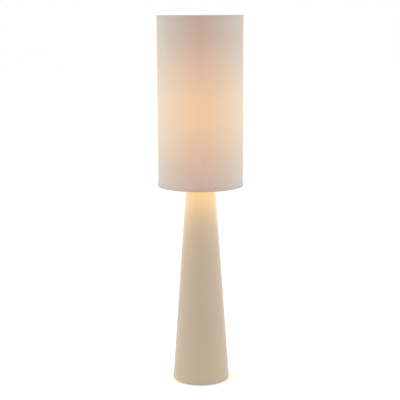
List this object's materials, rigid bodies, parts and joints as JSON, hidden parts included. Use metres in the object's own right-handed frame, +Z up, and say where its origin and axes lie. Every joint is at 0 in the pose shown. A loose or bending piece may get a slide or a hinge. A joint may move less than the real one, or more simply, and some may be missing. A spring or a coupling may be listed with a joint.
{
  "type": "floor lamp",
  "caption": "Tall floor lamp: a linen drum shade over a slim tapering steel cone, with standing bulbs inside the shade on a junction box and a spider that a knurled nut holds.",
  "frame": {"origin": "on the floor under the middle of the lamp", "axes": "+Z up along the lamp's axis, the front faces -Y, the cord inlet faces +Y, the bulbs stand at -X and +X"},
  "size_m": [0.2772, 0.2772, 1.2],
  "materials": {
    "base_paint": "matt sand powder coat",
    "box_paint": "matt white",
    "wire_paint": "satin white",
    "cast_weight": "raw casting, oiled",
    "zinc": "bright zinc plating",
    "nickel": "satin nickel",
    "brass": "plain brass",
    "linen": "woven linen",
    "trim_tape": "folded linen tape",
    "liner": "translucent white sheet",
    "felt": "pressed felt",
    "black_plastic": "fine texture",
    "block_plastic": "natural nylon",
    "holder_plastic": "off-white thermoset",
    "insert_ceramic": "unglazed",
    "flex_sheath": "smooth white sheath",
    "lead_sheath": "brown insulation",
    "earth_sheath": "green and yellow insulation",
    "black_glass": "black glass",
    "opal_glass": "opal, lit",
    "stem_glass": "clear glass stem and wires"
  },
  "bodies": {
    "base": {"base_cone": "base_paint", "top_cap": "base_paint", "floor_weight": "cast_weight", "felt_ring": "felt", "foot_washer": "zinc", "foot_nut": "zinc", "tie_tube": "zinc", "sleeve_washer": "zinc", "tube_sleeve": "base_paint", "cord_bush": "black_plastic", "bush_nut": "black_plastic", "base_block": "block_plastic", "tray_block": "block_plastic", "block_screws": "zinc", "clamp_screws": "brass", "inner_flex": "flex_sheath", "left_leads": "lead_sheath", "right_leads": "lead_sheath", "earth_lead": "earth_sheath", "earth_screw": "zinc", "junction_tray": "box_paint", "junction_lid": "box_paint", "junction_screws": "zinc", "tray_washer": "zinc", "tray_nut": "zinc", "rod_coupling": "zinc", "nipples": "zinc", "nipple_nuts": "zinc", "left_holder_foot": "holder_plastic", "left_insert": "insert_ceramic", "left_contact": "brass", "left_screw_shell": "nickel", "left_skirt": "holder_plastic", "right_holder_foot": "holder_plastic", "right_insert": "insert_ceramic", "right_contact": "brass", "right_screw_shell": "nickel", "right_skirt": "holder_plastic", "shade_rod": "wire_paint", "seat_nuts": "zinc", "seat_washer": "zinc"},
    "left_tip": {"left_bulb_tip": "nickel"},
    "left_bulb": {"left_bulb_insulator": "black_glass", "left_bulb_cap": "nickel", "left_bulb_glass": "opal_glass", "left_bulb_filament": "stem_glass"},
    "right_tip": {"right_bulb_tip": "nickel"},
    "right_bulb": {"right_bulb_insulator": "black_glass", "right_bulb_cap": "nickel", "right_bulb_glass": "opal_glass", "right_bulb_filament": "stem_glass"},
    "shade": {"shade_spider": "wire_paint", "bottom_ring": "wire_paint", "shade_linen": "linen", "shade_liner": "liner", "top_trim": "trim_tape", "bottom_trim": "trim_tape"},
    "nut_washer": {"knob_washer": "nickel"},
    "nut": {"shade_knob": "nickel"}
  },
  "joints": [
    {"name": "left_bulb_lift", "type": "slide", "parent": "base", "child": "left_tip", "axis": [0, 0, 1], "range_m": [0, 0.0144]},
    {"name": "left_bulb_turn", "type": "hinge", "parent": "left_tip", "child": "left_bulb", "pos_m": [-0.045, 0, 0.81], "axis": [0, 0, 1], "range_deg": [0, 1441]},
    {"name": "right_bulb_lift", "type": "slide", "parent": "base", "child": "right_tip", "axis": [0, 0, 1], "range_m": [0, 0.0144]},
    {"name": "right_bulb_turn", "type": "hinge", "parent": "right_tip", "child": "right_bulb", "pos_m": [0.045, 0, 0.81], "axis": [0, 0, 1], "range_deg": [0, 1441]},
    {"name": "shade_turn", "type": "hinge", "parent": "base", "child": "shade", "pos_m": [0, 0, 1.168], "axis": [0, 0, 1], "continuous": true},
    {"name": "nut_lift", "type": "slide", "parent": "base", "child": "nut_washer", "axis": [0, 0, 1], "range_m": [0, 0.008]},
    {"name": "nut_turn", "type": "hinge", "parent": "nut_washer", "child": "nut", "pos_m": [0, 0, 1.178], "axis": [0, 0, 1], "range_deg": [0, 2881]}
  ],
  "couplings": [
    {"joint": "left_bulb_turn", "follows": "left_bulb_lift", "rad_per_m": 1745.3},
    {"joint": "right_bulb_turn", "follows": "right_bulb_lift", "rad_per_m": 1745.3},
    {"joint": "nut_turn", "follows": "nut_lift", "rad_per_m": 6283.2}
  ]
}
